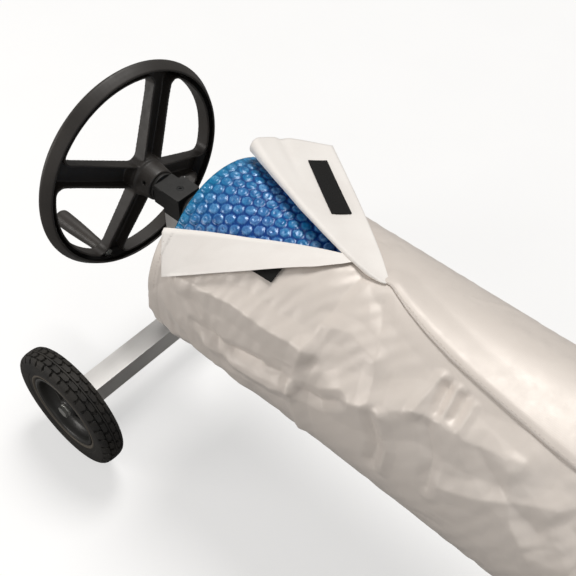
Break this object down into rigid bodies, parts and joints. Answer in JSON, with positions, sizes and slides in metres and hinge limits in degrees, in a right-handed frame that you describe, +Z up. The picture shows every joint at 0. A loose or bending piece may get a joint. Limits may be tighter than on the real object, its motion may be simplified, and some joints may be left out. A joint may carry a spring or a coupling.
{
  "type": "pool cover reel",
  "caption": "Wheeled reel that winds a bubble pool blanket on a tube with a spoked handwheel and crank grip, inside a loose fabric sleeve with two corners folded back.",
  "frame": {"origin": "on the ground, under the middle of the overall box", "axes": "+X along the reel from the handwheel end to the far end, +Y across it, away from the side with the hanging sleeve, +Z up"},
  "size_m": [2.683, 0.76, 0.7302],
  "materials": {
    "bar_aluminium": "satin mill finish",
    "bracket_aluminium": "satin",
    "black_moulding": "fine textured",
    "handwheel_plastic": "satin moulded",
    "grip_plastic": "satin moulded",
    "tyre_rubber": "matte",
    "hub_plastic": "satin moulded",
    "bush_plastic": "smooth",
    "zinc_steel": "zinc plated",
    "shaft_steel": "turned",
    "black_screw": "black oxide",
    "blanket_film": "translucent bubble film",
    "strap_webbing": "woven",
    "cover_fabric": "silver woven polyethylene, white inside",
    "hook_and_loop": "black hook and loop"
  },
  "bodies": {
    "stands": {"near_foot_bar": "bar_aluminium", "near_upright": "bar_aluminium", "near_bearing_block": "black_moulding", "near_block_cap_plate": "black_moulding", "near_bearing_nose": "black_moulding", "near_bearing_bush": "bush_plastic", "far_foot_bar": "bar_aluminium", "far_upright": "bar_aluminium", "far_bearing_block": "black_moulding", "far_block_cap_plate": "black_moulding", "far_bearing_nose": "black_moulding", "far_bearing_bush": "bush_plastic", "foot_bar_end_plugs": "black_moulding", "upright_brackets": "bracket_aluminium", "bracket_bolts": "zinc_steel", "wheel_axle_bolts": "zinc_steel", "wheel_axle_washers": "zinc_steel", "cap_plate_screws": "black_screw", "cover_sleeve": "cover_fabric", "cover_hook_patch": "hook_and_loop", "cover_loop_patch": "hook_and_loop"},
    "reel": {"handwheel": "handwheel_plastic", "hub_set_screws": "black_screw", "collar_set_screw": "black_screw", "hub_spacer_collar": "black_moulding", "near_tube_plug": "black_moulding", "far_tube_plug": "black_moulding", "drive_shaft": "shaft_steel", "idle_shaft": "shaft_steel", "shaft_cross_pins": "shaft_steel", "idle_shaft_collar": "shaft_steel", "reel_tube": "bar_aluminium", "tube_plug_screws": "zinc_steel", "grip_bolt": "zinc_steel", "grip_bolt_nut": "zinc_steel", "grip_washer": "zinc_steel", "blanket_roll": "blanket_film", "blanket_straps": "strap_webbing"},
    "crank_grip": {"crank_grip": "grip_plastic", "grip_end_cap": "grip_plastic"},
    "near_front_wheel": {"near_front_tyre": "tyre_rubber", "near_front_wheel_hub": "hub_plastic", "near_front_wheel_bushes": "bush_plastic"},
    "near_back_wheel": {"near_back_tyre": "tyre_rubber", "near_back_wheel_hub": "hub_plastic", "near_back_wheel_bushes": "bush_plastic"},
    "far_front_wheel": {"far_front_tyre": "tyre_rubber", "far_front_wheel_hub": "hub_plastic", "far_front_wheel_bushes": "bush_plastic"},
    "far_back_wheel": {"far_back_tyre": "tyre_rubber", "far_back_wheel_hub": "hub_plastic", "far_back_wheel_bushes": "bush_plastic"}
  },
  "joints": [
    {"name": "reel_spin", "type": "hinge", "parent": "stands", "child": "reel", "pos_m": [0, 0, 0.498], "axis": [1, 0, 0], "continuous": true},
    {"name": "grip_spin", "type": "hinge", "parent": "reel", "child": "crank_grip", "pos_m": [-1.3, -0.09859, 0.31258], "axis": [1, 0, 0], "continuous": true},
    {"name": "near_front_wheel_spin", "type": "hinge", "parent": "stands", "child": "near_front_wheel", "pos_m": [-1.0305, -0.353, 0.144], "axis": [0, 1, 0], "continuous": true},
    {"name": "near_back_wheel_spin", "type": "hinge", "parent": "stands", "child": "near_back_wheel", "pos_m": [-1.0305, 0.353, 0.144], "axis": [0, 1, 0], "continuous": true},
    {"name": "far_front_wheel_spin", "type": "hinge", "parent": "stands", "child": "far_front_wheel", "pos_m": [1.1975, -0.353, 0.144], "axis": [0, 1, 0], "continuous": true},
    {"name": "far_back_wheel_spin", "type": "hinge", "parent": "stands", "child": "far_back_wheel", "pos_m": [1.1975, 0.353, 0.144], "axis": [0, 1, 0], "continuous": true}
  ]
}
